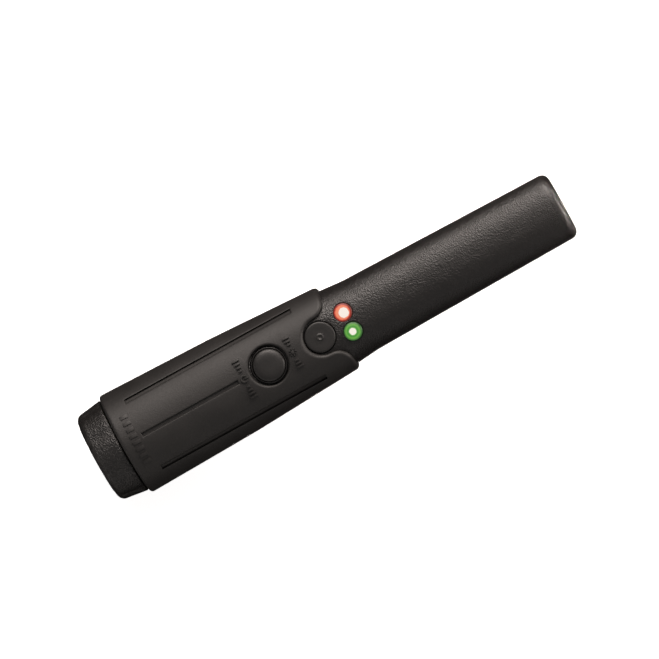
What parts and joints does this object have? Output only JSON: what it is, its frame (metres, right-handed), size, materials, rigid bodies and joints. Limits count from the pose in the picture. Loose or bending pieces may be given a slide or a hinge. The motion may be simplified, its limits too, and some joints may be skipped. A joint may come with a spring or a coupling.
{
  "type": "handheld metal detector",
  "caption": "Hand-held scanner wand with a rubber-sleeved handle, push buttons, red and green indicator lamps, a tip lamp and a fluted screw-on battery cap.",
  "frame": {"origin": "under the middle of the wand, on the surface that its back lies on", "axes": "+X along the wand to its tip, +Y across it to the left, +Z out of its face with the buttons"},
  "size_m": [0.241, 0.0496, 0.0485],
  "materials": {
    "shell_plastic": "fine spark-grained black",
    "grip_rubber": "smooth matt black",
    "cap_rubber": "stippled matt black",
    "button_rubber": "satin black",
    "inner_plastic": "moulded dark grey",
    "seal_rubber": "greased black",
    "red_lens": "lit, clear gloss",
    "green_lens": "lit, clear gloss",
    "clear_lens": "clear gloss",
    "steel": "plated",
    "brass": "plated",
    "copper_winding": "enamelled wire",
    "circuit_board": "solder mask",
    "battery_wrap": "printed-free wrap",
    "switch_plastic": "moulded black",
    "red_lead": "PVC",
    "black_lead": "PVC",
    "white_lead": "PVC"
  },
  "bodies": {
    "wand": {"front_shell": "shell_plastic", "rear_shell": "shell_plastic", "power_collar": "shell_plastic", "grip_sleeve": "grip_rubber", "battery_neck": "inner_plastic", "coil_former": "inner_plastic", "cap_seal": "seal_rubber", "battery": "battery_wrap", "battery_stud_positive": "steel", "battery_stud_negative": "steel", "contact_positive": "brass", "contact_negative": "brass", "contact_board": "circuit_board", "main_board": "circuit_board", "tip_board": "circuit_board", "controller_chip": "switch_plastic", "buzzer": "switch_plastic", "power_switch": "switch_plastic", "light_switch": "switch_plastic", "red_lens": "red_lens", "red_diode": "red_lens", "green_lens": "green_lens", "green_diode": "green_lens", "tip_lens": "clear_lens", "tip_diode": "clear_lens", "vibration_motor": "steel", "transmit_coil": "copper_winding", "receive_coil": "copper_winding", "battery_lead_red": "red_lead", "battery_lead_black": "black_lead", "tip_lead_red": "red_lead", "tip_lead_black": "black_lead", "transmit_lead": "white_lead", "receive_lead": "white_lead", "housing_screw_1": "steel", "housing_screw_2": "steel", "housing_screw_3": "steel", "housing_screw_4": "steel", "board_screw_1": "steel", "board_screw_2": "steel"},
    "cap_carrier": {"pressure_plate": "inner_plastic", "cap_spring": "steel"},
    "cap": {"battery_cap": "cap_rubber"},
    "power_button": {"power_button": "button_rubber", "power_plunger": "red_lead"},
    "light_button": {"light_button": "button_rubber", "light_plunger": "red_lead"},
    "motor_weight": {"motor_weight": "steel"}
  },
  "joints": [
    {"name": "cap_travel", "type": "slide", "parent": "wand", "child": "cap_carrier", "axis": [-1, 0, 0], "range_m": [0, 0.0126]},
    {"name": "cap_turn", "type": "hinge", "parent": "cap_carrier", "child": "cap", "pos_m": [-0.11345, 0, 0.02389], "axis": [-1, 0, 0], "range_deg": [0, 1260]},
    {"name": "power_press", "type": "slide", "parent": "wand", "child": "power_button", "axis": [-0.0713, 0, -0.9975], "range_m": [0, 0.001], "stiffness_N_per_m": 2500},
    {"name": "light_press", "type": "slide", "parent": "wand", "child": "light_button", "axis": [-0.0713, 0, -0.9975], "range_m": [0, 0.001], "stiffness_N_per_m": 2500},
    {"name": "motor_spin", "type": "hinge", "parent": "wand", "child": "motor_weight", "pos_m": [-0.01105, 0, 0.0105], "axis": [1, 0, 0], "continuous": true}
  ],
  "couplings": [
    {"joint": "cap_turn", "follows": "cap_travel", "rad_per_m": 1745.3}
  ]
}
